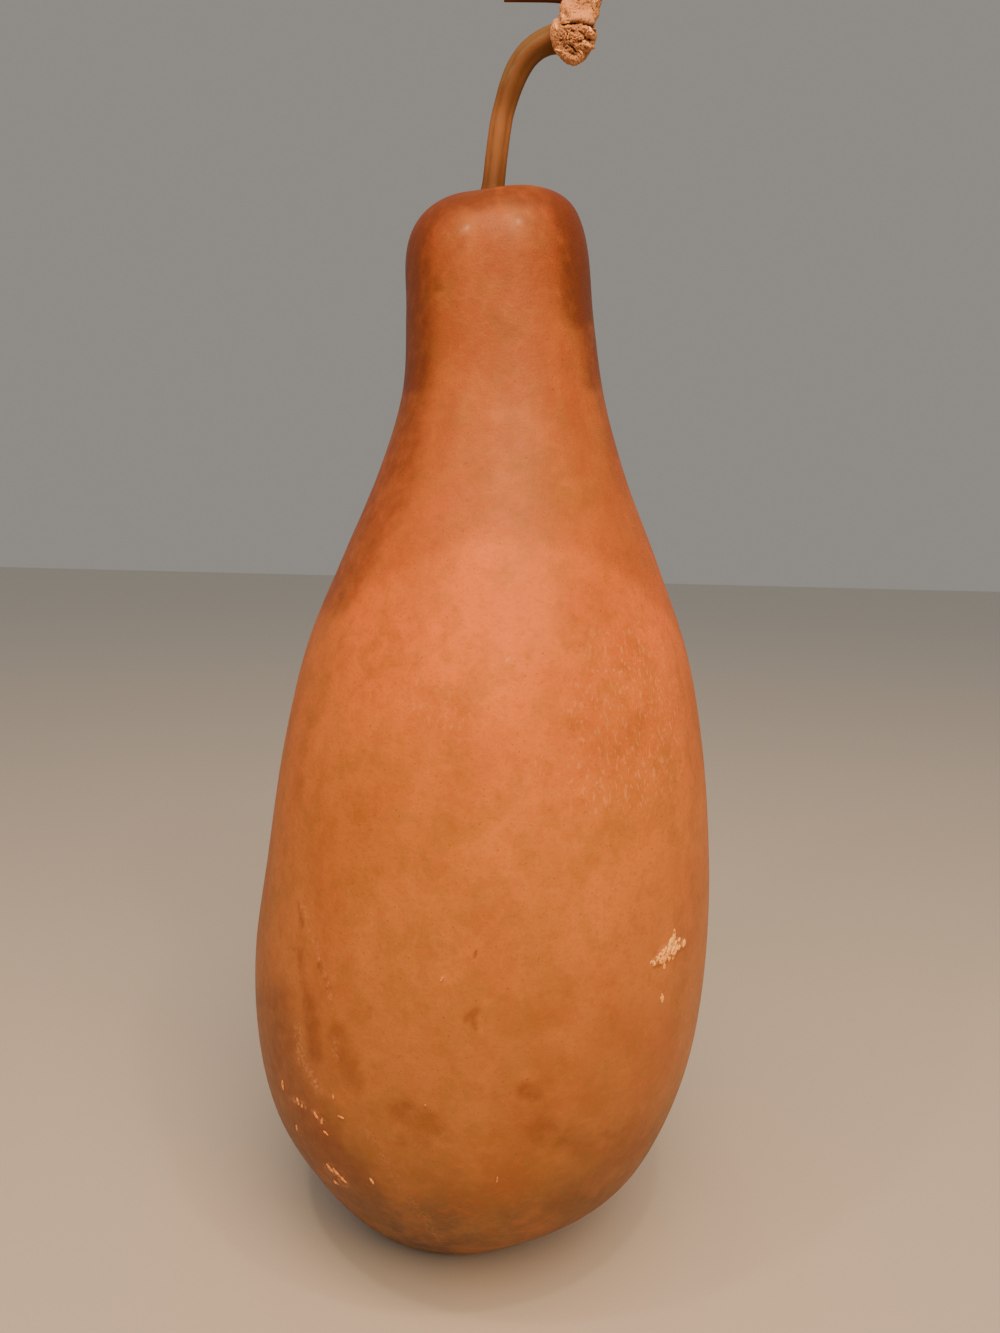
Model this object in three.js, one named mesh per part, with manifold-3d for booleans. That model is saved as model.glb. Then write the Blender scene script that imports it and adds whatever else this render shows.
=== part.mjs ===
// A whole dried bottle gourd that stands on its blossom end, with its stem and a short piece of vine.
// Millimetres, +Z up. The origin is the middle of the small flat spot that the gourd rests on.
// +X is the viewer's right and -Y is towards the viewer.
import * as THREE from 'three';
import { mergeVertices } from 'three/addons/utils/BufferGeometryUtils.js';
import Module from 'manifold-3d';

const wasm = await Module();
wasm.setup();

// Gourd body. Each station is one round level of the shell: [height, radius, sideways shift].
// The body is a little lopsided, so the levels don't share one upright axis.
const BODY_STATIONS = [
  [0, 38, 0],
  [5, 52.5, -6.5],
  [20, 70, -4],
  [42, 90, 1],
  [72, 105.5, 0.5],
  [108, 114, 1.5],
  [150, 116.5, 3],
  [200, 113, 6],
  [255, 106, 7],
  [305, 95, 7.5],
  [348, 78.5, 8],
  [390, 61, 8],
  [428, 49.5, 7.5],
  [465, 45.5, 5],
  [492, 44.2, 3.2],
  [507, 39.9, 3.9],
  [516.5, 31.6, 6.6],
  [521, 20, 9],
  [521.8, 12.5, 3],
  [520.8, 8.8, 0],
];
const BODY_SIDES = 48;
const ROWS_PER_STATION = 2;
const BODY_LAST_ROW = (BODY_STATIONS.length - 1) * ROWS_PER_STATION;

// Crown folds: uneven valleys that gather round the stem and fade out down the neck. They press the
// skin towards the heart of the crown. Each is [direction in degrees, depth, half width in degrees].
const FOLDS = [
  [-118, 2.4, 34],
  [8, 0.5, 22],
  [70, 1.6, 30],
  [160, 0.8, 26],
];
const FOLD_TOP = 522;
const FOLD_REACH = 42;
const FOLD_RIM = 14;
const CROWN_HEART = new THREE.Vector3(3, 0, 485);

// The stem grows out of a shallow socket in the crown.
const GAP = 0.3;
const SOCKET_RADIUS = 6.9;
const SOCKET_MOUTH = 520.2;
const SOCKET_FLOOR = 516;

// Stem. Each station is [sideways, depth, height, radius], from the socket to inside the knot.
const STEM_STATIONS = [
  [-0.2, 0, SOCKET_FLOOR + GAP, 6],
  [0.2, 0, 524, 5.5],
  [1.7, 0, 540, 5.3],
  [3.1, -1, 551.4, 5.3],
  [4.6, -2, 558.5, 5.2],
  [7.3, -4, 567.2, 5.5],
  [10.3, -5, 574.1, 5.7],
  [14.1, -6.5, 579.6, 5.7],
  [18.8, -8, 583.4, 5.7],
  [23.6, -9, 585.6, 5.9],
  [28.5, -10, 586.6, 6.4],
  [33.5, -10, 587, 6.6],
];
const STEM_SIDES = 20;
const STEM_STEPS = 34;
const STEM_RIDGES = 5;
const STEM_RIDGE_HEIGHT = 0.045;

// Vine knot: the thick corky vine that the stem hangs from, from its torn lower face to its cut top.
const VINE_STATIONS = [
  [35.5, -19.5, 582, 7.7],
  [35.6, -17.8, 583.2, 9],
  [35.8, -14, 585.6, 9.6],
  [36.2, -10.5, 589.2, 9.4],
  [36.7, -9.6, 593, 8.5],
  [37.6, -9.6, 598, 8],
  [39.3, -9.8, 603, 8.2],
  [40.4, -10, 608, 8.2],
  [41, -10, 614, 7.9],
];
const VINE_SIDES = 30;
const VINE_STEPS = 22;
const BARK_RIDGES = 9;
const BARK_RIDGE_HEIGHT = 0.035;
const BARK_LUMPS = 4;
const BARK_LUMP_HEIGHT = 0.045;
const BARK_TWIST = 1.3;
const FACE_RISE = 1.2;
const FACE_KEEL = 0.09;

// Side twig, grown together with the vine and cut square.
const TWIG_STATIONS = [
  [3.5, -10, 603.2, 1.7],
  [13, -10.4, 603.2, 1.75],
  [23, -11, 603.2, 1.9],
  [30, -11, 603.2, 2.1],
  [36, -10.5, 603.2, 2.2],
];
const TWIG_SIDES = 12;
const TWIG_STEPS = 14;

const SHELL_COLOUR = 0xb5652b;
const STEM_COLOUR = 0x96572a;
const CORK_COLOUR = 0xcb9166;

// A closed solid from rings of points, each ring counter-clockwise seen from its far side.
function ringSolid(rings, firstCentre, lastCentre) {
  const sides = rings[0].length;
  const points = rings.flat();
  const first = points.length;
  points.push(firstCentre, lastCentre);
  const last = first + 1;
  const top = (rings.length - 1) * sides;
  const faces = [];
  for (let side = 0; side < sides; side += 1) {
    const next = (side + 1) % sides;
    faces.push(first, next, side);
    faces.push(last, top + side, top + next);
    for (let row = 0; row < rings.length - 1; row += 1) {
      const low = row * sides;
      const high = low + sides;
      faces.push(low + side, low + next, high + next);
      faces.push(low + side, high + next, high + side);
    }
  }
  const geometry = new THREE.BufferGeometry().setFromPoints(points);
  geometry.setIndex(faces);
  geometry.computeVertexNormals();
  return geometry;
}

function foldDepth(angle) {
  const turn = THREE.MathUtils.radToDeg(angle);
  return FOLDS.reduce((total, [direction, depth, width]) => {
    const away = THREE.MathUtils.euclideanModulo(turn - direction + 180, 360) - 180;
    return total + depth * Math.exp(-((away / width) ** 2));
  }, 0);
}

function levelRing(height, radius, shift, folding = 0) {
  const ring = [];
  for (let side = 0; side < BODY_SIDES; side += 1) {
    const angle = (side / BODY_SIDES) * 2 * Math.PI;
    const point = new THREE.Vector3(shift + radius * Math.cos(angle), radius * Math.sin(angle), height);
    const inward = CROWN_HEART.clone().sub(point).normalize();
    ring.push(point.addScaledVector(inward, folding * foldDepth(angle)));
  }
  return ring;
}

function gourdBody() {
  const levels = BODY_STATIONS.map(([height, radius, shift]) => new THREE.Vector3(radius, shift, height));
  const outline = new THREE.CatmullRomCurve3(levels, false, 'catmullrom', 0.5);
  const rings = [];
  for (let row = 0; row <= BODY_LAST_ROW; row += 1) {
    const level = outline.getPoint(row / BODY_LAST_ROW);
    const nearness = THREE.MathUtils.clamp(1 - (FOLD_TOP - level.z) / FOLD_REACH, 0, 1);
    const fade = THREE.MathUtils.smoothstep(level.x, SOCKET_RADIUS, FOLD_RIM);
    rings.push(levelRing(level.z, level.x, level.y, nearness * nearness * fade));
  }
  rings.push(levelRing(SOCKET_MOUTH, SOCKET_RADIUS, 0));
  rings.push(levelRing(SOCKET_FLOOR, SOCKET_RADIUS, 0));
  return ringSolid(rings, new THREE.Vector3(0, 0, 0), new THREE.Vector3(0, 0, SOCKET_FLOOR));
}

// A solid swept along stations of [x, y, z, radius]; relief(angle, along) scales the radius.
function sweptSolid(stations, sides, steps, relief, extra = 0, endRise = 0) {
  const spine = stations.map(([x, y, z]) => new THREE.Vector3(x, y, z));
  const path = new THREE.CatmullRomCurve3(spine, false, 'catmullrom', 0.5);
  const sizes = stations.map(([, , , radius], index) => new THREE.Vector3(radius, 0, index));
  const taper = new THREE.CatmullRomCurve3(sizes, false, 'catmullrom', 0.5);
  const frames = path.computeFrenetFrames(steps, false);
  const rings = [];
  for (let step = 0; step <= steps; step += 1) {
    const along = step / steps;
    const centre = path.getPointAt(along);
    const radius = taper.getPoint(path.getUtoTmapping(along)).x;
    const ring = [];
    for (let side = 0; side < sides; side += 1) {
      const angle = (side / sides) * 2 * Math.PI;
      const reach = radius * relief(angle, along) + extra;
      const point = centre.clone();
      point.addScaledVector(frames.normals[step], reach * Math.cos(angle));
      point.addScaledVector(frames.binormals[step], reach * Math.sin(angle));
      ring.push(point);
    }
    rings.push(ring);
  }
  const start = path.getPointAt(0).addScaledVector(path.getTangentAt(0), -endRise);
  return ringSolid(rings, start, path.getPointAt(1));
}

function stemRelief(angle) {
  return 1 + STEM_RIDGE_HEIGHT * Math.cos(STEM_RIDGES * angle);
}

// Bark ridges and lumps, and a keel that makes the torn end narrow towards its lowest point.
function barkRelief(angle, along) {
  const ridges = Math.sin(BARK_RIDGES * angle + BARK_TWIST * along);
  const lumps = Math.sin(BARK_LUMPS * angle + 2 * Math.PI * along) * Math.cos(4 * Math.PI * along);
  const keel = Math.sin(3 * angle) * (1 - THREE.MathUtils.smoothstep(along, 0.1, 0.5));
  return 1 + BARK_RIDGE_HEIGHT * ridges + BARK_LUMP_HEIGHT * lumps + FACE_KEEL * keel;
}

function toSolid(geometry) {
  const bare = geometry.clone();
  bare.deleteAttribute('normal');
  const merged = mergeVertices(bare, 1e-4);
  return new wasm.Manifold(new wasm.Mesh({
    numProp: 3,
    vertProperties: new Float32Array(merged.attributes.position.array),
    triVerts: new Uint32Array(merged.index.array),
  }));
}

function toGeometry(solid) {
  const mesh = solid.getMesh();
  const geometry = new THREE.BufferGeometry();
  geometry.setAttribute('position', new THREE.BufferAttribute(mesh.vertProperties, 3));
  geometry.setIndex(new THREE.BufferAttribute(mesh.triVerts, 1));
  geometry.computeVertexNormals();
  return geometry;
}

function vine(extra) {
  return toSolid(sweptSolid(VINE_STATIONS, VINE_SIDES, VINE_STEPS, barkRelief, extra, FACE_RISE));
}

function stem() {
  const whole = toSolid(sweptSolid(STEM_STATIONS, STEM_SIDES, STEM_STEPS, stemRelief));
  return toGeometry(whole.subtract(vine(GAP)));
}

function vineKnot() {
  const twig = toSolid(sweptSolid(TWIG_STATIONS, TWIG_SIDES, TWIG_STEPS, () => 1));
  return toGeometry(vine(0).add(twig));
}

function addPart(group, name, geometry, color, roughness) {
  const material = new THREE.MeshStandardMaterial({ color, roughness, metalness: 0 });
  const mesh = new THREE.Mesh(geometry, material);
  mesh.name = name;
  group.add(mesh);
}

const gourd = new THREE.Group();
addPart(gourd, 'gourd_body', gourdBody(), SHELL_COLOUR, 0.42);
addPart(gourd, 'stem', stem(), STEM_COLOUR, 0.55);
addPart(gourd, 'vine_knot', vineKnot(), CORK_COLOUR, 0.9);

export default gourd;
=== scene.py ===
"""A whole dried bottle gourd: waxed orange-brown shell, bent stem and a torn corky knot of vine."""
import math

import bpy
import numpy as np
from mathutils import Matrix, Vector
from mathutils.bvhtree import BVHTree


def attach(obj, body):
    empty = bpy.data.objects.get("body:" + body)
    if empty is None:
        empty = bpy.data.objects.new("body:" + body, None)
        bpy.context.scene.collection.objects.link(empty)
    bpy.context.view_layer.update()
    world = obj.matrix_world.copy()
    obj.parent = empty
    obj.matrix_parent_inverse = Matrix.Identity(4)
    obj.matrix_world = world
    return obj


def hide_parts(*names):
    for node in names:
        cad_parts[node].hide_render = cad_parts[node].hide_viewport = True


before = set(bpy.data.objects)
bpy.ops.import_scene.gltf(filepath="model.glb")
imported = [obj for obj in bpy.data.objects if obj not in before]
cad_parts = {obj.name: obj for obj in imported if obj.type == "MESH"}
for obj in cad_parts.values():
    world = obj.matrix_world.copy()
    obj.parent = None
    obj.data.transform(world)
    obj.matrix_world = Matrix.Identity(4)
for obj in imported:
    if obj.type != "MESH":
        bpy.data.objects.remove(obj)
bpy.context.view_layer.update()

# Camera. It stands half a metre in front of the gourd, level with its shoulder, and looks down a little.
# The frame is upright, 1000 by 1333, and is held a little turned, so the gourd leans to the left.
MM = 0.001
PHOTO_SIZE = (1000, 1333)
FOCAL_PIXELS = 1001
SENSOR = 36
CAMERA_PLACE = Vector((9.2, -504.7, 366.9)) * MM
CAMERA_PITCH = math.radians(-8.2)
CAMERA_ROLL = math.radians(1.425)

camera_data = bpy.data.cameras.new("camera")
camera_data.sensor_width = SENSOR
camera_data.lens = SENSOR * FOCAL_PIXELS / max(PHOTO_SIZE)
camera_data.clip_start = 0.01
camera_data.clip_end = 50
camera = bpy.data.objects.new("camera", camera_data)
aim = Matrix.Rotation(math.pi / 2 + CAMERA_PITCH, 4, "X") @ Matrix.Rotation(CAMERA_ROLL, 4, "Z")
camera.matrix_world = Matrix.Translation(CAMERA_PLACE) @ aim
bpy.context.scene.collection.objects.link(camera)
bpy.context.scene.camera = camera


def sight_line(x, y):
    """The direction from the camera through a pixel of the photograph."""
    across = (x - PHOTO_SIZE[0] / 2) / FOCAL_PIXELS
    down = (y - PHOTO_SIZE[1] / 2) / FOCAL_PIXELS
    return (aim.to_3x3() @ Vector((across, -down, -1))).normalized()


def to_pixels(points):
    """Where the camera sees each point, in pixels of the photograph."""
    local = (points - np.array(CAMERA_PLACE)) @ np.array(aim.to_3x3())
    across = PHOTO_SIZE[0] / 2 - FOCAL_PIXELS * local[:, 0] / local[:, 2]
    down = PHOTO_SIZE[1] / 2 + FOCAL_PIXELS * local[:, 1] / local[:, 2]
    return np.stack([across, down], axis=1)


# Gourd shell. It is the hard woody rind of a bottle gourd, grown in one piece, dried, scraped clean and
# waxed. Round levels, each a little off the last one's axis, are joined by a smooth curve, and valleys
# gather the crown round the stem. The levels are [height, radius, sideways shift] in millimetres.
SHELL_LEVELS = (
    (0, 38, 0),
    (5, 52.5, -6.5),
    (20, 70, -4),
    (42, 90, 1),
    (72, 105.5, 0.5),
    (108, 114, 1.5),
    (150, 116.5, 3),
    (200, 113, 6),
    (255, 106, 7),
    (305, 95, 7.5),
    (348, 78.5, 8),
    (390, 61, 8),
    (428, 49.5, 7.5),
    (465, 45.5, 5),
    (492, 44.2, 3.2),
    (507, 39.9, 3.9),
    (516.5, 31.6, 6.6),
    (521, 20, 9),
    (521.8, 12.5, 3),
    (520.8, 8.8, 0),
)
SHELL_SIDES = 250
SHELL_ROWS = 340
SHELL_SAMPLES = 4000
SHELL_SMOOTHING = 3
FRONT_CROWDING = 0.5
SOCKET_RADIUS = 6.9
SOCKET_LEVELS = ((520.2, SOCKET_RADIUS, 0), (516, SOCKET_RADIUS, 0))

# The shell stands a little proud of its levels, from nothing at the foot to all of it at this height.
SHELL_PROUD = 0.25
PROUD_HEIGHT = 20

# Each fold of the crown is [direction in degrees, depth in millimetres, half width in degrees].
FOLDS = ((-118, 2.4, 34), (8, 0.5, 22), (70, 1.6, 30), (160, 0.8, 26))
FOLD_TOP = 522
FOLD_REACH = 42
FOLD_RIM = 14
CROWN_HEART = np.array((3, 0, 485))


def linear(code):
    """An sRGB hex colour as linear red, green, blue and full alpha."""
    parts = [int(code[place:place + 2], 16) / 255 for place in (1, 3, 5)]
    return tuple(c / 12.92 if c <= 0.04045 else ((c + 0.055) / 1.055) ** 2.4 for c in parts) + (1,)


def add_node(tree, kind, settings=None, inputs=None):
    """Adds a node. settings are its properties, and inputs are socket values or the sockets to link."""
    node = tree.nodes.new(kind)
    for name, value in (settings or {}).items():
        if name == "stops":
            ramp = node.color_ramp
            while len(ramp.elements) < len(value):
                ramp.elements.new(1)
            for element, (place, color) in zip(ramp.elements, value):
                element.position = place
                element.color = color
        else:
            setattr(node, name, value)
    for name, value in (inputs or {}).items():
        if isinstance(value, bpy.types.NodeSocket):
            tree.links.new(value, node.inputs[name])
        else:
            node.inputs[name].default_value = value
    return node


def new_material(name):
    """An empty material and its node tree."""
    material = bpy.data.materials.new(name)
    material.use_nodes = True
    material.node_tree.nodes.clear()
    return material, material.node_tree


def calc(tree, operation, *values):
    """The result of a maths node on numbers or sockets."""
    return add_node(tree, "ShaderNodeMath", {"operation": operation}, dict(enumerate(values))).outputs[0]


def ranged(tree, value, low, high, start=0, end=1, kind="LINEAR"):
    """A value brought from one range to another and held inside it."""
    return add_node(tree, "ShaderNodeMapRange", {"interpolation_type": kind}, {
        "Value": value, "From Min": low, "From Max": high, "To Min": start, "To Max": end,
    }).outputs[0]


def catmull_rom(points, count):
    """A smooth curve through the points, as count samples evenly spaced in point number."""
    points = np.asarray(points, float)
    padded = np.vstack([2 * points[0] - points[1], points, 2 * points[-1] - points[-2]])
    place = np.linspace(0, len(points) - 1, count)
    first = np.minimum(place.astype(int), len(points) - 2)
    t = (place - first)[:, None]
    before, here, there, after = (padded[first + step] for step in range(4))
    square = 2 * before - 5 * here + 4 * there - after
    cube = 3 * here - before - 3 * there + after
    return here + 0.5 * ((there - before) * t + square * t ** 2 + cube * t ** 3)


def smooth_step(value, low, high):
    """0 up to low, 1 from high on, and a smooth rise between them."""
    t = np.clip((value - low) / (high - low), 0, 1)
    return t * t * (3 - 2 * t)


def placed(name, data):
    """A mesh or a lamp as an object of the scene."""
    piece = bpy.data.objects.new(name, data)
    bpy.context.scene.collection.objects.link(piece)
    return piece


def ring_mesh(name, rings, first_centre, last_centre):
    """A closed mesh from rings of points in millimetres, with a fan at each end."""
    rows, sides = rings.shape[:2]
    points = np.vstack([rings.reshape(-1, 3), first_centre, last_centre]) * MM
    first, last = rows * sides, rows * sides + 1
    top = (rows - 1) * sides
    faces = []
    for side in range(sides):
        after = (side + 1) % sides
        faces.append((first, after, side))
        faces.append((last, top + side, top + after))
    for row in range(rows - 1):
        low, high = row * sides, (row + 1) * sides
        for side in range(sides):
            after = (side + 1) % sides
            faces.append((low + side, low + after, high + after, high + side))
    mesh = bpy.data.meshes.new(name)
    mesh.from_pydata(points.tolist(), [], faces)
    mesh.shade_smooth()
    return placed(name, mesh)


def shell_levels():
    """The levels, evenly spaced along the outline."""
    fine = catmull_rom(SHELL_LEVELS, SHELL_SAMPLES)
    run = np.cumsum(np.r_[0, np.hypot(*np.diff(fine[:, :2], axis=0).T)])
    even = np.linspace(0, run[-1], SHELL_ROWS)
    levels = np.stack([np.interp(even, run, fine[:, column]) for column in range(3)], axis=1)
    for _ in range(SHELL_SMOOTHING):
        levels[1:-1] = (levels[:-2] + 2 * levels[1:-1] + levels[2:]) / 4
    levels[:, 1] += SHELL_PROUD * smooth_step(levels[:, 0], 0, PROUD_HEIGHT)
    return np.vstack([levels, SOCKET_LEVELS])


def shell_rings():
    """Rings of points, closer together at the front, pressed in where the crown folds."""
    height, radius, shift = (column[:, None] for column in shell_levels().T)
    turn = np.linspace(0, 2 * math.pi, SHELL_SIDES, endpoint=False)[None]
    angle = turn - FRONT_CROWDING * np.cos(turn)
    x = shift + radius * np.cos(angle)
    y = radius * np.sin(angle)
    rings = np.stack([x, y, height + 0 * x], axis=-1)
    depth = np.zeros_like(angle)
    for direction, amount, width in FOLDS:
        away = (np.degrees(angle) - direction + 180) % 360 - 180
        depth += amount * np.exp(-(away / width) ** 2)
    nearness = np.clip(1 - (FOLD_TOP - height) / FOLD_REACH, 0, 1)
    depth = depth * nearness ** 2 * smooth_step(radius, SOCKET_RADIUS, FOLD_RIM)
    inward = CROWN_HEART - rings
    inward /= np.linalg.norm(inward, axis=-1, keepdims=True)
    return rings + inward * depth[..., None]


def new_tree(name, inputs):
    """A Geometry Nodes tree with a geometry input, named inputs and a geometry output."""
    tree = bpy.data.node_groups.new(name, "GeometryNodeTree")
    tree.interface.new_socket("Geometry", in_out="INPUT", socket_type="NodeSocketGeometry")
    for label, kind in inputs:
        tree.interface.new_socket(label, in_out="INPUT", socket_type="NodeSocket" + kind)
    tree.interface.new_socket("Geometry", in_out="OUTPUT", socket_type="NodeSocketGeometry")
    return tree, add_node(tree, "NodeGroupInput").outputs


def seeded_noise(tree, given, label, detail, bend=0):
    """Noise of one of a tree's named sizes, at the geometry's own places and for the tree's seed."""
    return add_node(tree, "ShaderNodeTexNoise", {"noise_dimensions": "4D"}, {
        "Vector": add_node(tree, "GeometryNodeInputPosition").outputs[0], "W": given["Seed"],
        "Scale": calc(tree, "DIVIDE", 1, given[label + " Size"]), "Detail": detail, "Distortion": bend,
    })


def pushed(tree, geometry, amount):
    """The geometry with each point moved along its normal by an amount in metres."""
    facing = add_node(tree, "GeometryNodeInputNormal").outputs[0]
    offset = add_node(tree, "ShaderNodeVectorMath", {"operation": "SCALE"}, {0: facing, "Scale": amount})
    return add_node(tree, "GeometryNodeSetPosition", inputs={
        "Geometry": geometry, "Offset": offset.outputs[0],
    }).outputs[0]


def finish_tree(tree, geometry, material):
    """Ends a tree with plain geometry that wears the material."""
    whole = add_node(tree, "GeometryNodeRealizeInstances", inputs={"Geometry": geometry})
    dressed = add_node(tree, "GeometryNodeSetMaterial", inputs={
        "Geometry": whole.outputs[0], "Material": material,
    })
    add_node(tree, "NodeGroupOutput", inputs={"Geometry": dressed.outputs[0]})


def grown(piece, tree, values):
    """Runs a Geometry Nodes tree on a piece and keeps the result as its plain mesh."""
    modifier = piece.modifiers.new(tree.name, "NODES")
    modifier.node_group = tree
    for socket in tree.interface.items_tree:
        if socket.in_out == "INPUT" and socket.name in values:
            modifier[socket.identifier] = values[socket.name]
    depsgraph = bpy.context.evaluated_depsgraph_get()
    result = piece.evaluated_get(depsgraph)
    mesh = bpy.data.meshes.new_from_object(result, preserve_all_data_layers=True, depsgraph=depsgraph)
    piece.modifiers.remove(modifier)
    piece.data = mesh
    mesh.shade_smooth()


# Swells and dimples only sink into the smooth levels, so the shell never grows past its full width.
SWELL_DETAIL = 1
DIMPLE_DETAIL = 2
skin, given = new_tree("shell_skin", (
    ("Swell Size", "Float"), ("Swell Depth", "Float"), ("Dimple Size", "Float"), ("Dimple Depth", "Float"),
    ("Foot Height", "Float"), ("Seed", "Float"), ("Material", "Material"),
))
sinks = []
for label, detail in (("Swell", SWELL_DETAIL), ("Dimple", DIMPLE_DETAIL)):
    low = calc(skin, "SUBTRACT", seeded_noise(skin, given, label, detail).outputs[0], 1)
    sinks.append(calc(skin, "MULTIPLY", low, given[label + " Depth"]))
where = add_node(skin, "GeometryNodeInputPosition").outputs[0]
height = add_node(skin, "ShaderNodeSeparateXYZ", inputs={0: where}).outputs["Z"]
clear = ranged(skin, height, 0, given["Foot Height"])
sunk = calc(skin, "MULTIPLY", calc(skin, "ADD", *sinks), clear)
finish_tree(skin, pushed(skin, given["Geometry"], sunk), given["Material"])

# Waxed gourd rind: satin, a little leathery, orange-brown with cloudy browner patches, redder at the neck.
# Its tone by height is partly its own and partly painted light: painted shade darkens the foot and the
# crown, and a painted lit band brightens the shoulder. It gives the eye soft wide highlights over faint
# mottling.
SHELL_HEIGHT = 522
RIND_TONES_AND_SHADE = (
    (0.00, linear("#3A220E")),
    (0.05, linear("#523214")),
    (0.12, linear("#704C26")),
    (0.20, linear("#AC6E38")),
    (0.45, linear("#CC7834")),
    (0.62, linear("#D8702C")),
    (0.76, linear("#B4602C")),
    (0.90, linear("#944E24")),
    (1.00, linear("#7E3814")),
)
RIND_OLIVE = linear("#906226")
RIND_RUST = linear("#A04C1E")
RIND_GLOW = linear("#E0863C")
# Dark brown for stains and for painted shade.
RIND_STAIN_AND_SHADE = linear("#602C0E")
RIND_PALE = linear("#E8A06A")
RIND_PORE = linear("#4A2008")

rind, tree = new_material("waxed_gourd_rind")
spot = add_node(tree, "ShaderNodeTexCoord").outputs["Object"]
level = add_node(tree, "ShaderNodeSeparateXYZ", inputs={0: spot}).outputs["Z"]
share = ranged(tree, level, 0, SHELL_HEIGHT * MM)
# The rind's tone by height, with its painted shade at the foot and crown and painted light round the
# shoulder.
tone = add_node(tree, "ShaderNodeValToRGB", {"stops": RIND_TONES_AND_SHADE}, {"Fac": share}).outputs[0]

# The Mix node has the same socket names for numbers and for colours, so its sockets go by place.
MIX_AMOUNT = 0
MIX_UNDER = 6
MIX_OVER = 7
MIX_RESULT = 2


def lay_over(tree, under, over, mask):
    """One colour mixed over another where the mask is."""
    return add_node(tree, "ShaderNodeMix", {"data_type": "RGBA"}, {
        MIX_AMOUNT: mask, MIX_UNDER: under, MIX_OVER: over,
    }).outputs[MIX_RESULT]


def noise(tree, spot, size, detail, **settings):
    """Noise with clouds of a size in millimetres."""
    return add_node(tree, "ShaderNodeTexNoise", inputs={
        "Vector": spot, "Scale": 1 / (size * MM), "Detail": detail, **settings,
    }).outputs[0]


def cloud_mask(tree, spot, size, stretch, detail, low, high, strength):
    """Soft clouds of a size in millimetres, drawn out along the height by stretch."""
    drawn = add_node(tree, "ShaderNodeMapping", inputs={"Vector": spot, "Scale": (1, 1, 1 / stretch)})
    cloud = noise(tree, drawn.outputs[0], size, detail, Roughness=0.55, Distortion=0.4)
    return ranged(tree, cloud, low, high, end=strength, kind="SMOOTHSTEP")


def mark(tree, name):
    """What a mesh keeps at each of its points under a name, for a material."""
    return add_node(tree, "ShaderNodeAttribute", {"attribute_name": name}).outputs["Fac"]


# Each layer is [size in mm, stretch, detail, low, high, strength, colour], laid over the last.
RIND_LAYERS = (
    (75, 1.5, 2, 0.40, 0.72, 0.38, RIND_OLIVE),
    (46, 1.4, 2, 0.44, 0.74, 0.34, RIND_RUST),
    (21, 1.3, 3, 0.44, 0.76, 0.22, RIND_GLOW),
    (13, 1.2, 5, 0.48, 0.64, 0.30, RIND_OLIVE),
    (7, 1.0, 5, 0.52, 0.60, 0.16, RIND_RUST),
    (5, 0.8, 3, 0.46, 0.74, 0.12, RIND_GLOW),
    (2.2, 0.7, 3, 0.46, 0.68, 0.22, RIND_OLIVE),
    (1.1, 1.0, 1, 0.70, 0.78, 0.45, RIND_PORE),
)
for *shape, color in RIND_LAYERS:
    tone = lay_over(tree, tone, color, cloud_mask(tree, spot, *shape))

# Streaks run down the neck, and pale flecks gather where their fields are painted. Both are written like
# the layers, but without a colour.
NECK_STREAK = (9, 5, 3, 0.44, 0.70, 0.3)
NECK_START = 330 * MM
NECK_FULL = 430 * MM
upon_neck = ranged(tree, level, NECK_START, NECK_FULL)
streaks = calc(tree, "MULTIPLY", cloud_mask(tree, spot, *NECK_STREAK), upon_neck)
tone = lay_over(tree, tone, RIND_RUST, streaks)
FLECK = (1.7, 2.2, 1, 0.57, 0.68, 0.4)
flecks = calc(tree, "MULTIPLY", cloud_mask(tree, spot, *FLECK), mark(tree, "flecks"))
tone = lay_over(tree, tone, RIND_PALE, flecks)

# Painted strokes. Stains and painted shade have soft edges that wander, and rubbed places break up into pale
# crumbs. Each is [name of the strokes, colour, size of the noise in mm, range it scales them by, strength].
STROKES = (
    ("stain", RIND_STAIN_AND_SHADE, 6.5, (0.6, 1.3), 0.80),
    ("pale", RIND_PALE, 1.7, (-1.1, 2.6), 0.75),
)
NOISE_SPAN = (0.2, 0.8)
STROKE_EDGE = (0.02, 0.95)
for name, color, size, scales, strength in STROKES:
    wander = noise(tree, spot, size, detail=3, Roughness=0.6)
    broken = calc(tree, "MULTIPLY", mark(tree, name), ranged(tree, wander, *NOISE_SPAN, *scales))
    edged = ranged(tree, broken, *STROKE_EDGE, end=strength, kind="SMOOTHSTEP")
    tone = lay_over(tree, tone, color, edged)


def bump(tree, pattern, strength, depth, **under):
    """A bump made from a pattern, to a depth in millimetres, on top of the Normal given if there is one."""
    return add_node(tree, "ShaderNodeBump", inputs={
        "Height": pattern, "Strength": strength, "Distance": depth * MM, **under,
    }).outputs[0]


def finish_material(tree, inputs):
    """Ends a material with one surface."""
    surface = add_node(tree, "ShaderNodeBsdfPrincipled", inputs=inputs)
    add_node(tree, "ShaderNodeOutputMaterial", inputs={"Surface": surface.outputs[0]})


# Leathery grain: wrinkles about a millimetre apart over wider ripples of about 6 mm, which also vary
# the gloss.
RIND_GRAIN = 1.1
RIND_RIPPLE = 6
RIPPLE_SPAN = (0.3, 0.7)
RIND_ROUGHNESS = (0.46, 0.58)
grain = noise(tree, spot, RIND_GRAIN, detail=4, Roughness=0.65)
ripple = noise(tree, spot, RIND_RIPPLE, detail=4, Roughness=0.6)
wide = bump(tree, ripple, strength=0.6, depth=0.5)
finish_material(tree, {
    "Base Color": tone, "Roughness": ranged(tree, ripple, *RIPPLE_SPAN, *RIND_ROUGHNESS), "IOR": 1.45,
    "Specular IOR Level": 0.33, "Coat Weight": 0.08, "Coat Roughness": 0.18,
    "Normal": bump(tree, grain, strength=0.9, depth=0.18, Normal=wide),
})

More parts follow.
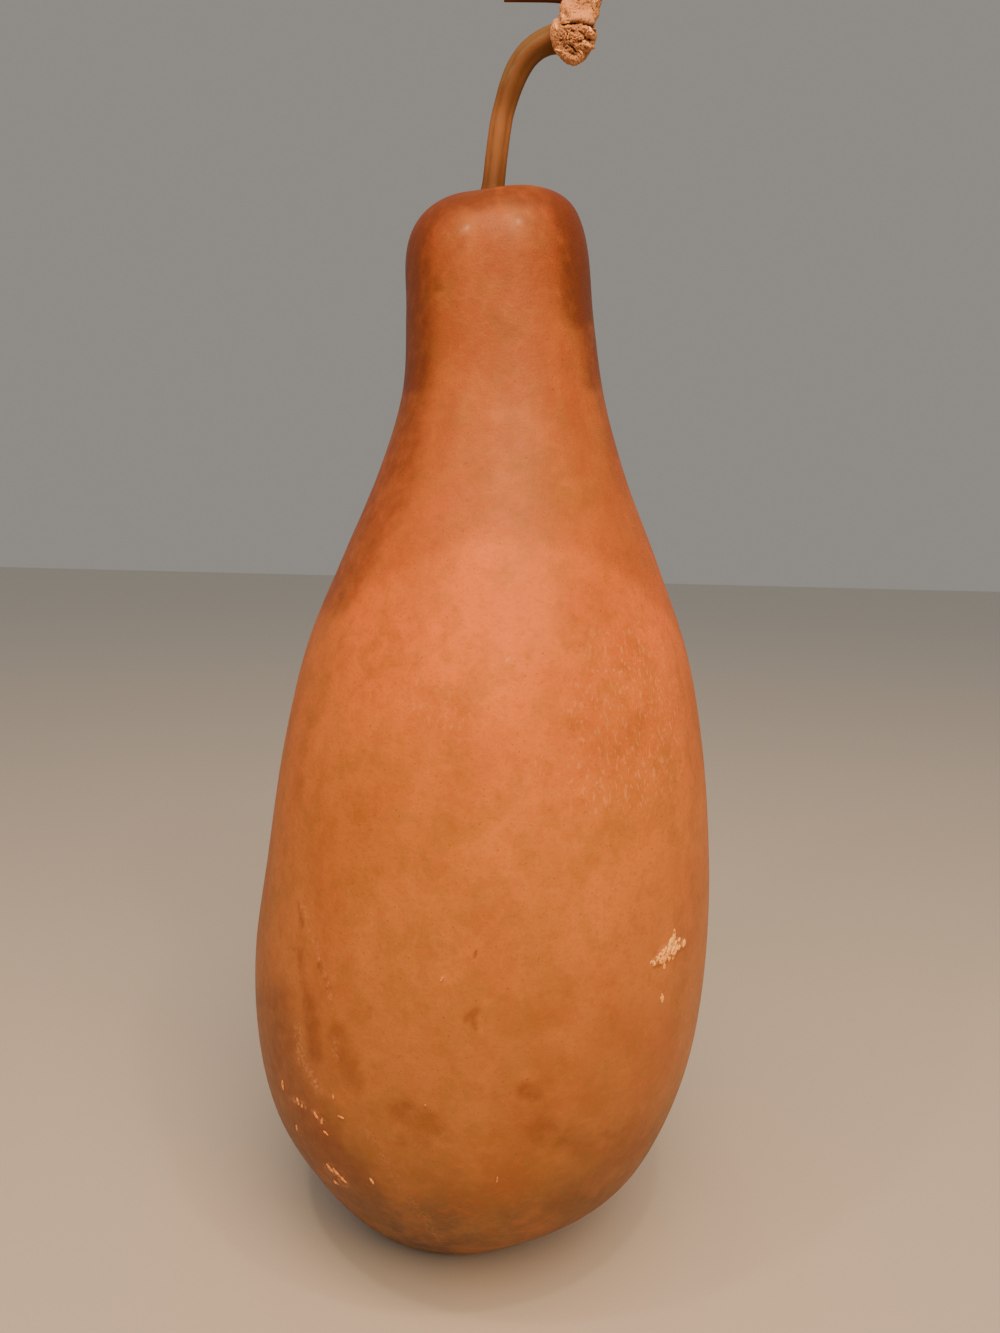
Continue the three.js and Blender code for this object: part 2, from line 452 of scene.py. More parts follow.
shell = ring_mesh("gourd_shell", shell_rings(), (0, 0, 0), (0, 0, SOCKET_LEVELS[-1][0]))
grown(shell, skin, {
    "Swell Size": 70 * MM, "Swell Depth": 0.8 * MM, "Dimple Size": 15 * MM, "Dimple Depth": 0.2 * MM,
    "Foot Height": 12 * MM, "Seed": 3.0, "Material": rind,
})


def surface_tree(piece):
    """The piece's surface, for finding what the camera sees at a pixel."""
    mesh = piece.data
    return BVHTree.FromPolygons([v.co for v in mesh.vertices], [p.vertices for p in mesh.polygons])


def distance_to_line(spots, line):
    """How far each spot is from a line through the given pixels, or from a single pixel."""
    line = np.array(line, float)
    nearest = np.linalg.norm(spots - line[0], axis=1)
    for start, end in zip(line[:-1], line[1:]):
        run = end - start
        along = np.clip((spots - start) @ run / (run @ run), 0, 1)[:, None]
        nearest = np.minimum(nearest, np.linalg.norm(spots - start - along * run, axis=1))
    return nearest


# A stroke is whole up to the first of these parts of its half width and gone from the second on. Past
# the edge of sight it goes on a little way round the piece and fades out, down to this cosine.
STROKE_SOFTNESS = (0.3, 1.7)
STROKE_REACH = -0.55


def paint(piece, name, strokes, scale=1):
    """Keeps the strokes that the camera sees on a piece as a number at each of its points."""
    mesh = piece.data
    points, normals = np.empty((2, len(mesh.vertices), 3))
    mesh.vertices.foreach_get("co", points.reshape(-1))
    mesh.vertex_normals.foreach_get("vector", normals.reshape(-1))
    sight = np.array(CAMERA_PLACE) - points
    sight /= np.linalg.norm(sight, axis=1, keepdims=True)
    in_sight = smooth_step((sight * normals).sum(axis=1), STROKE_REACH, 0)
    spots = to_pixels(points)
    total = np.zeros(len(points))
    for line, half_width, strength in strokes:
        away = distance_to_line(spots, line) / half_width
        stroke = 1 - smooth_step(away, *STROKE_SOFTNESS)
        total = np.maximum(total, strength * stroke)
    values = total * in_sight * scale
    mesh.attributes.new(name, "FLOAT", "POINT").data.foreach_set("value", values)


# Dark streaks, smudges and blotches, together with painted shade and shadow: the dark edges of the crown and
# neck, a dark ring round the stem, broad darker patches on the shoulders and a shadow beside the scar's
# flakes. Each is [pixels it runs through, half width in pixels, strength].
STAINS_AND_SHADE = (
    (((298, 903), (303, 926)), 2.4, 0.5),
    (((288, 948), (304, 949)), 1.6, 0.35),
    (((300, 950), (303, 978), (308, 1004)), 4.4, 0.45),
    (((308, 1000), (312, 1026), (315, 1058)), 8, 0.5),
    (((319, 962), (329, 990)), 3.2, 0.4),
    (((337, 1030), (345, 1060), (358, 1084)), 11, 0.4),
    (((272, 1000), (280, 1060), (298, 1116)), 24, 0.5),
    (((300, 1116), (328, 1160), (360, 1200)), 30, 0.5),
    (((403, 1110), (416, 1116), (434, 1124)), 14, 0.45),
    (((404, 1138), (425, 1144)), 9, 0.35),
    (((524, 1090), (533, 1093)), 10, 0.5),
    (((542, 1130), (560, 1136), (584, 1146)), 19, 0.42),
    (((605, 1134), (614, 1135)), 5, 0.45),
    (((636, 1130), (606, 1180), (560, 1215)), 22, 0.35),
    (((466, 1019), (477, 1010)), 4.4, 0.5),
    (((472, 1016), (475, 1028)), 4.0, 0.45),
    (((476, 952), (474, 957)), 2.0, 0.8),
    # Painted shadow beside the scar's lifted flakes.
    (((656, 967), (667, 962), (677, 953), (684, 947)), 2.2, 0.5),
    (((680, 937), (684, 941)), 2.2, 0.5),
    # Painted shade: broad darker patches either side of the middle, below the shoulder.
    (((600, 600), (580, 650), (600, 740)), 54, 0.28),
    (((400, 585), (385, 660)), 54, 0.28),
    (((553, 808), (580, 803)), 8, 0.3),
    (((574, 681),), 1.6, 0.9),
    # Partly dark rind, partly painted shade and dark reflection: the crown's right side, its top round the
    # stem, and the neck's left edge.
    (((564, 200), (582, 236), (586, 310)), 19, 1.0),
    (((573, 250), (575, 300)), 15, 0.8),
    (((590, 320), (596, 380)), 12, 0.6),
    (((414, 246), (426, 216), (448, 200), (486, 195)), 14, 0.9),
    (((506, 193), (560, 199)), 13, 0.7),
    (((411, 250), (414, 330), (412, 380)), 20, 0.85),
    (((410, 385), (404, 440), (396, 470)), 20, 0.6),
    (((434, 280), (437, 286)), 7, 0.55),
    (((428, 258), (432, 268)), 6, 0.35),
    (((418, 304), (424, 322)), 9, 0.6),
    (((432, 308), (434, 316)), 6, 0.4),
    (((497, 320), (506, 330)), 9, 0.3),
    (((560, 242), (566, 256)), 7, 0.4),
    (((452, 396), (446, 424)), 10, 0.25),
    # Painted shade on the left shoulder.
    (((394, 475), (368, 530), (336, 590)), 27, 0.55),
    (((604, 400), (616, 450)), 8, 0.35),
)

# Pale scratches and rubbed places, and the fields where pale flecks gather, written the same way.
SCRATCHES = (
    (((303, 905), (309, 930)), 1.8, 0.45),
    (((313, 938), (325, 975), (331, 1003)), 2.2, 0.4),
    (((298, 1025), (301, 1062)), 5, 0.35),
    (((306, 1066), (320, 1092)), 4, 0.4),
    (((334, 1040), (336, 1058)), 4, 0.25),
    (((365, 1128), (380, 1148), (393, 1175), (418, 1210), (438, 1238)), 6, 0.2),
    (((652, 962), (664, 956)), 3.4, 0.7),
    (((662, 954), (672, 947), (680, 942)), 4.6, 1.0),
    (((292, 1098), (304, 1106)), 3.6, 0.4),
    (((314, 1112), (324, 1124)), 3.6, 0.35),
    (((327, 1166), (336, 1174), (345, 1184)), 5, 0.3),
    (((506, 661), (511, 660)), 3.5, 0.4),
    (((440, 980), (445, 977)), 1.8, 0.8),
)
FLECK_FIELDS = (
    (((625, 660), (650, 720), (640, 775)), 38, 0.9),
    (((588, 700), (592, 800)), 22, 0.8),
    (((545, 765), (575, 790)), 16, 0.55),
    (((420, 690), (450, 720)), 26, 0.35),
    (((515, 420), (528, 465)), 20, 0.14),
    (((350, 930), (480, 950), (560, 900)), 70, 0.13),
)
paint(shell, "stain", STAINS_AND_SHADE)
paint(shell, "pale", SCRATCHES)
paint(shell, "flecks", FLECK_FIELDS)
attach(shell, "root")
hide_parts("gourd_body")
shell_surface = surface_tree(shell)

# Flaking scar and scuffs. Where the outer skin was rubbed or knocked off, its dry edges lift as small
# straw-coloured flakes. One ragged flake is set down on each place and turned and stretched there.
# Each is [pixel x, pixel y, length, width, turn in degrees from upright], sizes in millimetres.
SCAR_FLAKES = (
    (674, 937, 7.5, 2.6, 4),
    (671, 943, 5.6, 3.8, 20),
    (674, 947, 7.4, 1.8, 42),
    (676, 950, 6.6, 1.8, 40),
    (669, 950, 6.6, 2.6, 38),
    (663, 953, 7.6, 1.8, 52),
    (660, 955, 6.4, 1.6, 48),
    (666, 956, 5.2, 2.4, 28),
    (669, 957, 4.4, 1.8, -4),
    (673, 955, 4.6, 1.6, 10),
    (662, 960, 4.0, 3.6, 60),
    (664, 965, 4.0, 1.6, -4),
    (653, 963, 4.6, 2.2, -62),
    (658, 958, 4.0, 1.6, -60),
    (684, 943, 4.2, 2.6, 24),
    (679, 940, 2.6, 1.6, 10),
    (679, 947, 2.8, 1.4, 30),
    (662, 998, 4.6, 2.0, -6),
)
SCUFF_FLAKES = (
    (283, 1085, 5.4, 1.3, 0),
    (298, 1101, 4.0, 1.2, -20),
    (302, 1106, 2.8, 1.0, 30),
    (297, 1128, 4.0, 1.1, 4),
    (316, 1115, 3.6, 1.4, -38),
    (322, 1121, 4.2, 1.5, 20),
    (326, 1133, 3.2, 1.1, -60),
    (341, 1117, 3.4, 1.0, -82),
    (330, 1168, 5.4, 1.6, -38),
    (337, 1173, 6.0, 1.9, -32),
    (343, 1179, 5.2, 1.5, -44),
    (336, 1182, 3.4, 1.2, -50),
    (372, 1181, 3.8, 1.3, -24),
    (333, 1096, 2.6, 1.0, -10),
    (443, 979, 3.2, 1.1, 48),
    (425, 1106, 1.8, 0.8, 15),
    (497, 1180, 4.0, 0.9, 4),
)
FLAKE_THICKNESS = 1.3
FLAKE_SINK = 0.05
UNIT_BALL = {"Radius": 0.5, "Subdivisions": 4}
NOISE_MIDDLE = 0.5


def stored(tree, name, kind="FLOAT"):
    """What a geometry keeps at each of its points under a name, for a Geometry Nodes tree."""
    return add_node(tree, "GeometryNodeInputNamedAttribute", {"data_type": kind}, {"Name": name}).outputs[0]


flakes, given = new_tree("lifted_flakes", (
    ("Ragged Size", "Float"), ("Ragged Height", "Float"), ("Seed", "Float"), ("Material", "Material"),
))
ball = add_node(flakes, "GeometryNodeMeshIcoSphere", inputs=UNIT_BALL)
spread = add_node(flakes, "GeometryNodeInstanceOnPoints", inputs={
    "Points": given["Geometry"], "Instance": ball.outputs[0],
    "Rotation": stored(flakes, "aim", "QUATERNION"), "Scale": stored(flakes, "span", "FLOAT_VECTOR"),
})
whole = add_node(flakes, "GeometryNodeRealizeInstances", inputs={"Geometry": spread.outputs[0]})
tear = seeded_noise(flakes, given, "Ragged", detail=2).outputs["Color"]
centred = add_node(flakes, "ShaderNodeVectorMath", {"operation": "SUBTRACT"}, {
    0: tear, 1: (NOISE_MIDDLE, NOISE_MIDDLE, NOISE_MIDDLE),
})
shift = add_node(flakes, "ShaderNodeVectorMath", {"operation": "SCALE"}, {
    0: centred.outputs[0], "Scale": given["Ragged Height"],
})
moved = add_node(flakes, "GeometryNodeSetPosition", inputs={
    "Geometry": whole.outputs[0], "Offset": shift.outputs[0],
})
finish_tree(flakes, moved.outputs[0], given["Material"])

FLAKE_MOTTLE = 1.4
# The darkest of the three tones is painted shade: dark specks that stand for shadow gaps in the flaky skin.
FLAKE_STOPS = (0.36, 0.46, 0.58)


def flake_finish(name, *codes):
    """Dry skin or fibre: matt and papery, in three tones, the darkest of them painted shade in its gaps. It
    gives the eye small ticks on the satin rind.
    """
    material, tree = new_material(name)
    spot = add_node(tree, "ShaderNodeTexCoord").outputs["Object"]
    mottle = noise(tree, spot, FLAKE_MOTTLE, detail=3)
    stops = tuple(zip(FLAKE_STOPS, map(linear, codes)))
    tone = add_node(tree, "ShaderNodeValToRGB", {"stops": stops}, {"Fac": mottle})
    finish_material(tree, {
        "Base Color": tone.outputs[0], "Roughness": 0.72, "IOR": 1.45,
        "Normal": bump(tree, mottle, strength=0.6, depth=0.15),
    })
    return material


bright_skin = flake_finish("dry_skin_flake", "#B0682E", "#FFAA54", "#FFD078")
dull_skin = flake_finish("worn_skin_flake", "#A85A28", "#D88A50", "#F0AC6C")


def set_down(name, surface, marks, thickness, sink, lift=0):
    """Points for a piece, one for each mark, keeping how a ragged flake will lie on a surface or be lifted
    off it by an angle.
    """
    places, turns, spans = [], [], []
    for x, y, length, width, turn in marks:
        place, normal, _, _ = surface.ray_cast(CAMERA_PLACE, sight_line(x, y))
        side = Vector((0, 0, 1)).cross(normal).normalized()
        rise = normal.cross(side)
        basis = Matrix((side, rise, normal)).transposed()
        lean = Matrix.Rotation(-math.radians(turn), 3, "Z") @ Matrix.Rotation(math.radians(lift), 3, "X")
        places.append(place - normal * sink * MM)
        turns.append((basis @ lean).to_quaternion())
        spans.append((width * MM, length * MM, thickness * MM))
    mesh = bpy.data.meshes.new(name)
    mesh.from_pydata([tuple(place) for place in places], [], [])
    aims = mesh.attributes.new("aim", "QUATERNION", "POINT")
    aims.data.foreach_set("value", [part for turn in turns for part in turn])
    sizes = mesh.attributes.new("span", "FLOAT_VECTOR", "POINT")
    sizes.data.foreach_set("vector", [part for span in spans for part in span])
    return placed(name, mesh)


for name, marks, finish in (
    ("scar_flakes", SCAR_FLAKES, bright_skin),
    ("scuff_flakes", SCUFF_FLAKES, dull_skin),
):
    piece = set_down(name, shell_surface, marks, FLAKE_THICKNESS, FLAKE_SINK)
    grown(piece, flakes, {
        "Ragged Size": 1.4 * MM, "Ragged Height": 0.7 * MM, "Seed": 5.0, "Material": finish,
    })
    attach(piece, "root")

# Stem. The dried stalk that the gourd hung from: woody, smooth, with five soft ridges and fine grooves
# along it, and a root that spreads into the crown. A ridged section is swept along its bend.
# Each station is [x, y, z, radius] in millimetres.
STEM_STATIONS = (
    (-0.2, 0, 516.4, 6.0),
    (0.0, 0, 520.6, 6.6),
    (0.2, 0, 523.0, 5.9),
    (0.5, 0, 527.0, 5.4),
    (1.7, 0, 540.0, 5.3),
    (3.1, -1, 551.4, 5.3),
    (4.6, -2, 558.5, 5.2),
    (7.3, -4, 567.2, 5.5),
    (10.3, -5, 574.1, 5.7),
    (14.1, -6.5, 579.6, 5.7),
    (18.8, -8, 583.4, 5.7),
    (23.6, -9, 585.6, 5.9),
    (28.5, -10, 586.6, 6.4),
    (32.0, -10, 586.9, 6.6),
)
STEM_SAMPLES = 160


def keep(tree, geometry, name, value):
    """The geometry with a number kept at each of its points under a name."""
    return add_node(tree, "GeometryNodeStoreNamedAttribute", {"data_type": "FLOAT", "domain": "POINT"}, {
        "Geometry": geometry, "Name": name, "Value": value,
    }).outputs[0]


def unrolled(tree, around, along, length):
    """A place for noise that runs in lines along a stalk and closes on itself round it."""
    return add_node(tree, "ShaderNodeCombineXYZ", inputs={
        "X": calc(tree, "COSINE", around), "Y": calc(tree, "SINE", around),
        "Z": calc(tree, "DIVIDE", along, length),
    }).outputs[0]


stalk, given = new_tree("ridged_stalk", (
    ("Sides", "Int"), ("Ridges", "Float"), ("Ridge Height", "Float"), ("Groove Height", "Float"),
    ("Grooves", "Float"), ("Groove Length", "Float"), ("Seed", "Float"), ("Material", "Material"),
))
path = add_node(stalk, "GeometryNodeMeshToCurve", inputs={"Mesh": given["Geometry"]})
length = add_node(stalk, "GeometryNodeSplineParameter").outputs["Length"]
circle = add_node(stalk, "GeometryNodeCurvePrimitiveCircle", inputs={
    "Resolution": given["Sides"], "Radius": 1,
})
number = add_node(stalk, "GeometryNodeInputIndex").outputs[0]
turn = calc(stalk, "MULTIPLY", calc(stalk, "DIVIDE", number, given["Sides"]), 2 * math.pi)
swept = add_node(stalk, "GeometryNodeCurveToMesh", inputs={
    "Curve": keep(stalk, path.outputs[0], "along", length),
    "Profile Curve": keep(stalk, circle.outputs[0], "around", turn),
    "Scale": stored(stalk, "girth"), "Fill Caps": True,
})
around = stored(stalk, "around")
crest = calc(stalk, "COSINE", calc(stalk, "MULTIPLY", around, given["Ridges"]))
crested = keep(stalk, swept.outputs[0], "crest", crest)
lines = add_node(stalk, "ShaderNodeTexNoise", {"noise_dimensions": "4D"}, {
    "Vector": unrolled(stalk, around, stored(stalk, "along"), given["Groove Length"]),
    "W": given["Seed"], "Scale": given["Grooves"], "Detail": 3,
})
ridge = calc(stalk, "MULTIPLY", crest, given["Ridge Height"])
groove = calc(stalk, "MULTIPLY", lines.outputs[0], given["Groove Height"])
relief = calc(stalk, "SUBTRACT", ridge, groove)
finish_tree(stalk, pushed(stalk, crested, relief), given["Material"])

# The worn side of a stalk is turned this way, and streaks make its border ragged. The border of the hollows,
# which get painted shade, is where the streaks and the height of the ridges add up to less. The root and the
# bend get painted shade too.
WORN_SIDE = (-0.2, 0.05, 0.98)
WORN_BORDER = (0.26, 0.36)
WORN_STREAKS = 0.35
WORN_STRENGTH = 0.9
BEND_SHADE_STRENGTH = 0.72
ROOT_SHADE_STRENGTH = 0.85
HOLLOW_BORDER = (0.9, -0.2)
HOLLOW_STREAKS = 2.4
HOLLOW_SHADE_STRENGTH = 0.45
STREAK_SCALE = 2.6


def stalk_finish(name, body, worn, painted_shade, streak_length, root, worn_from, worn_to):
    """Dried stalk: smooth woody skin with a dull polish, worn on its bend, with painted shade at its root,
    over its bend and in its valleys. The lengths along it are in millimetres."""
    material, tree = new_material(name)
    around, along, crest = (mark(tree, kept) for kept in ("around", "along", "crest"))
    facing = add_node(tree, "ShaderNodeNewGeometry").outputs["Normal"]
    side = add_node(tree, "ShaderNodeVectorMath", {"operation": "DOT_PRODUCT"}, {0: facing, 1: WORN_SIDE})
    streaks = add_node(tree, "ShaderNodeTexNoise", inputs={
        "Vector": unrolled(tree, around, along, streak_length * MM), "Scale": STREAK_SCALE, "Detail": 5,
        "Roughness": 0.6,
    }).outputs[0]
    ragged = calc(tree, "MULTIPLY_ADD", streaks, WORN_STREAKS, side.outputs["Value"])
    upper = ranged(tree, ragged, *WORN_BORDER, end=WORN_STRENGTH, kind="SMOOTHSTEP")
    reached = ranged(tree, along, worn_from * MM, worn_to * MM, kind="SMOOTHSTEP")
    root_shade = ranged(tree, along, root * MM, 0, end=ROOT_SHADE_STRENGTH, kind="SMOOTHSTEP")
    hollow = calc(tree, "MULTIPLY_ADD", streaks, HOLLOW_STREAKS, crest)
    shaded = ranged(tree, hollow, *HOLLOW_BORDER, end=HOLLOW_SHADE_STRENGTH, kind="SMOOTHSTEP")
    # Painted shade: darker at the root, over the bend and in the hollows between the ridges.
    tone = lay_over(tree, body, painted_shade, root_shade)
    tone = lay_over(tree, tone, painted_shade, calc(tree, "MULTIPLY", reached, BEND_SHADE_STRENGTH))
    tone = lay_over(tree, tone, worn, calc(tree, "MULTIPLY", upper, reached))
    tone = lay_over(tree, tone, painted_shade, shaded)
    finish_material(tree, {
        "Base Color": tone, "Roughness": 0.6, "IOR": 1.45, "Specular IOR Level": 0.22,
        "Normal": bump(tree, streaks, strength=0.5, depth=0.2),
    })
    return material


def spine_piece(name, stations, samples):
    """A line of points along the stations, with the radius at each kept as its girth."""
    line = catmull_rom(stations, samples) * MM
    mesh = bpy.data.meshes.new(name)
    mesh.from_pydata(line[:, :3].tolist(), [(step, step + 1) for step in range(samples - 1)], [])
    mesh.attributes.new("girth", "FLOAT", "POINT").data.foreach_set("value", line[:, 3])
    return placed(name, mesh)


STEM_BODY = linear("#865C38")
STEM_WORN = linear("#685234")
# The darkest stem colour is painted shade for its root, bend and hollows.
STEM_PAINTED_SHADE = linear("#523418")
stem_skin = stalk_finish("smooth_dried_stem", STEM_BODY, STEM_WORN, STEM_PAINTED_SHADE, streak_length=22, root=36,
                         worn_from=32, worn_to=54)
stem = spine_piece("gourd_stem", STEM_STATIONS, STEM_SAMPLES)
grown(stem, stalk, {
    "Sides": 80, "Ridges": 5.0, "Ridge Height": 0.24 * MM, "Groove Height": 0.3 * MM, "Grooves": 2.2,
    "Groove Length": 16 * MM, "Seed": 1.0, "Material": stem_skin,
})
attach(stem, "root")
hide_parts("stem")

# Vine knot. The thick corky vine that the stem hung from, torn off below and sawn off above. Its torn
# face is a rosette of broken ridges with cracks between them, and its bark is ridged and crumbly.
VINE_STATIONS = (
    (35.5, -19.5, 582, 7.7),
    (35.6, -17.8, 583.2, 9.0),
    (35.8, -14, 585.6, 9.6),
    (36.2, -10.5, 589.2, 9.4),
    (36.7, -9.6, 593, 8.5),
    (37.6, -9.6, 598, 8.0),
    (39.3, -9.8, 603, 8.2),
    (40.4, -10, 608, 8.2),
    (41, -10, 613.5, 7.9),
)
VINE_SIDES = 200
VINE_ROWS = 150
VINE_FACE_ROWS = 44
FACE_RISE = 1.2
FACE_SPAN = (0.03, 0.97)
KEEL_HEIGHT = 0.09
KEEL_CORNERS = 3
KEEL_FADE = (0.1, 0.5)
TORN_ROUGHNESS = 1.0
BARK_ROUGHNESS = 0.7
BARK_FADE = (0.15, 0.5)
SAWN_ROUGHNESS = 0.1


def vine_mesh(name):
    """The vine from its torn face to its sawn top, with how rough each point is kept with it."""
    line = catmull_rom(VINE_STATIONS, VINE_ROWS)
    tangents = np.gradient(line[:, :3], axis=0)
    tangents /= np.linalg.norm(tangents, axis=1, keepdims=True)
    angle = np.linspace(0, 2 * math.pi, VINE_SIDES, endpoint=False)
    normal = np.array((-1.0, 0, 0))
    rings, roughness = [], []
    for row, (point, tangent) in enumerate(zip(line, tangents)):
        normal = normal - tangent * (normal @ tangent)
        normal /= np.linalg.norm(normal)
        other = np.cross(tangent, normal)
        share = row / (VINE_ROWS - 1)
        keel = KEEL_HEIGHT * np.sin(KEEL_CORNERS * angle) * (1 - smooth_step(share, *KEEL_FADE))
        reach = (point[3] * (1 + keel))[:, None]
        way = np.cos(angle)[:, None] * normal + np.sin(angle)[:, None] * other
        rings.append(point[:3] + reach * way)
        smoother = smooth_step(share, *BARK_FADE)
        roughness.append(TORN_ROUGHNESS - (TORN_ROUGHNESS - BARK_ROUGHNESS) * smoother)
    shares = np.linspace(*FACE_SPAN, VINE_FACE_ROWS)
    torn = [line[0, :3] + (rings[0] - line[0, :3]) * share - tangents[0] * FACE_RISE * (1 - share ** 2)
            for share in shares]
    sawn = [line[-1, :3] + (rings[-1] - line[-1, :3]) * share for share in shares[::-1]]
    proud = line[0, :3] - tangents[0] * FACE_RISE
    piece = ring_mesh(name, np.array(torn + rings + sawn), proud, line[-1, :3])
    levels = [TORN_ROUGHNESS] * len(torn) + roughness + [SAWN_ROUGHNESS] * len(sawn)
    values = np.r_[np.repeat(levels, VINE_SIDES), TORN_ROUGHNESS, SAWN_ROUGHNESS]
    piece.data.attributes.new("roughness", "FLOAT", "POINT").data.foreach_set("value", values)
    return piece


# Ridges stand where the noise is near its middle. Each is [name, detail, bend].
RELIEFS = (("Ridge", 2, 1.2), ("Crumb", 3, 0.4))
RIDGE_SLOPE = -5
RIDGE_TOP = 0.5
rough, given = new_tree("corky_relief", (
    ("Ridge Size", "Float"), ("Ridge Height", "Float"), ("Crumb Size", "Float"), ("Crumb Height", "Float"),
    ("Seed", "Float"), ("Material", "Material"),
))
parts = []
for label, detail, bend in RELIEFS:
    bumps = seeded_noise(rough, given, label, detail, bend).outputs[0]
    away = calc(rough, "ABSOLUTE", calc(rough, "SUBTRACT", bumps, NOISE_MIDDLE))
    crest = calc(rough, "MULTIPLY_ADD", away, RIDGE_SLOPE, RIDGE_TOP)
    parts.append(calc(rough, "MULTIPLY", crest, given[label + " Height"]))
scaled = calc(rough, "MULTIPLY", calc(rough, "ADD", *parts), stored(rough, "roughness"))
cracked = calc(rough, "SUBTRACT", scaled, stored(rough, "crack"))
relief = calc(rough, "ADD", cracked, stored(rough, "swell"))
kept = keep(rough, given["Geometry"], "relief", relief)
finish_tree(rough, pushed(rough, kept, relief), given["Material"])

# Corky vine: dull, crumbly, pinkish tan, with painted highlight on its raised ridges and painted shade down
# in its cracks. The tone goes by the height of the relief and by fine crumbs.
CORK_CRUMB = 0.6
CORK_LEVEL = 0.12
CORK_SHADE_PER_MM = 0.42
CORK_PER_CRUMB = 0.8
CORK_TONES_AND_SHADE = (
    (0.00, linear("#2A0E02")),
    (0.18, linear("#5E3418")),
    (0.40, linear("#906644")),
    (0.64, linear("#B0825C")),
    (0.90, linear("#C48E60")),
)
cork, tree = new_material("torn_corky_vine")
spot = add_node(tree, "ShaderNodeTexCoord").outputs["Object"]
crumbs = noise(tree, spot, CORK_CRUMB, detail=4, Roughness=0.65)
# Painted highlight and shade: higher relief is paler, and the cracks are dark.
relief_shading = calc(tree, "MULTIPLY_ADD", mark(tree, "relief"), CORK_SHADE_PER_MM / MM, CORK_LEVEL)
summed = calc(tree, "MULTIPLY_ADD", crumbs, CORK_PER_CRUMB, relief_shading)
tone = add_node(tree, "ShaderNodeValToRGB", {"stops": CORK_TONES_AND_SHADE}, {"Fac": summed})
finish_material(tree, {
    "Base Color": tone.outputs[0], "Roughness": 0.85, "IOR": 1.4,
    "Normal": bump(tree, crumbs, strength=0.7, depth=0.25),
})

# Cracks and swollen ridges of the knot, each [pixels it runs through, half width in pixels, depth or
# height in millimetres].
VINE_CRACKS = (
    (((563, 24), (572, 23), (582, 22), (589, 25), (597, 27)), 1.8, 1.6),
    (((566, 14), (569, 17)), 1.6, 1.2),
    (((560, 19), (558, 26)), 1.6, 1.0),
    (((565, 29), (568, 34), (567, 39)), 1.1, 0.7),
    (((572, 30), (574, 33)), 1.0, 0.5),
    (((589, 29), (593, 29), (595, 32)), 1.1, 1.4),
    (((580, 32), (584, 35), (585, 38)), 1.0, 1.0),
    (((579, 41), (586, 40), (592, 40)), 1.0, 0.9),
    (((569, 45), (573, 48), (576, 52)), 0.9, 1.2),
    (((570, 52), (574, 54), (578, 56)), 1.0, 0.6),
    (((563, 40), (565, 48)), 1.4, 0.3),
    (((584, 47), (589, 46)), 0.9, 0.8),
    (((571, 7), (575, 8)), 1.2, 0.5),
    (((571, 12), (577, 11)), 1.2, 0.4),
)
VINE_SWELLS = (
    (((565, 6), (575, 16), (588, 17), (594, 14)), 5, 0.9),
    (((557, 22), (554, 30), (553, 38), (556, 47), (563, 53)), 2.6, 0.9),
    (((585, 29), (590, 33)), 3, 1.1),
    (((572, 36), (582, 37)), 3, 0.6),
    (((583, 44), (591, 46)), 2, 1.1),
    (((567, 56), (574, 60), (580, 57)), 3, 0.9),
    (((567, 26), (566, 38)), 2.4, 0.5),
    (((572, 42), (578, 45)), 2.2, 0.6),
)
knot = vine_mesh("vine_knot_cork")
paint(knot, "crack", VINE_CRACKS, MM)
paint(knot, "swell", VINE_SWELLS, MM)
grown(knot, rough, {
    "Ridge Size": 2.6 * MM, "Ridge Height": 1.0 * MM, "Crumb Size": 0.9 * MM, "Crumb Height": 0.55 * MM,
    "Seed": 2.0, "Material": cork,
})
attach(knot, "root")
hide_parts("vine_knot")
knot_surface = surface_tree(knot)

# Torn fibres of the knot. Stiff pale splinters stand up round the tear, made as the flakes of the
# scar are, but tipped off the surface. Each is [pixel x, pixel y, length, width, turn].
TORN_FIBRES = (
    (586, 43, 4.6, 1.2, -68),
    (588, 46, 4.0, 0.9, -72),
    (584, 49, 4.2, 0.9, -62),
    (581, 52, 3.4, 0.9, -40),
    (590, 30, 3.6, 1.6, -30),
    (593, 27, 3.0, 1.0, -60),
    (592, 36, 2.6, 0.9, -50),
    (555, 36, 4.2, 1.1, 8),
    (556, 27, 4.2, 1.1, -14),
    (559, 50, 4.0, 1.1, 40),
    (563, 17, 3.6, 1.4, -50),
    (566, 22, 4.2, 0.9, -62),
    (568, 36, 3.0, 0.8, 10),
    (573, 59, 4.2, 1.2, 86),
    (594, 5, 4.0, 2.4, -30),
    (596, 2, 4.4, 1.8, -10),
)
FIBRE_THICKNESS = 0.8
FIBRE_SINK = -0.3
FIBRE_LIFT = 22
splinter = flake_finish("dry_cork_splinter", "#9A6030", "#D09A60", "#EAC08A")
fibres = set_down("knot_fibres", knot_surface, TORN_FIBRES, FIBRE_THICKNESS, FIBRE_SINK, FIBRE_LIFT)
grown(fibres, flakes, {
    "Ragged Size": 1.1 * MM, "Ragged Height": 1.0 * MM, "Seed": 9.0, "Material": splinter,
})
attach(fibres, "root")

# Side twig. A thin smooth shoot of the vine, dry and dark, cut square at its far end. It is swept the
# same way as the stem, with finer grooves.
TWIG_STATIONS = (
    (3.5, -10, 603.2, 1.7),
    (13, -10.4, 603.2, 1.75),
    (23, -11, 603.2, 1.9),
    (30, -11, 603.2, 2.1),
    (36, -10.5, 603.2, 2.2),
)
TWIG_SAMPLES = 60
TWIG_BODY = linear("#5E320E")
TWIG_WORN = linear("#6E4820")
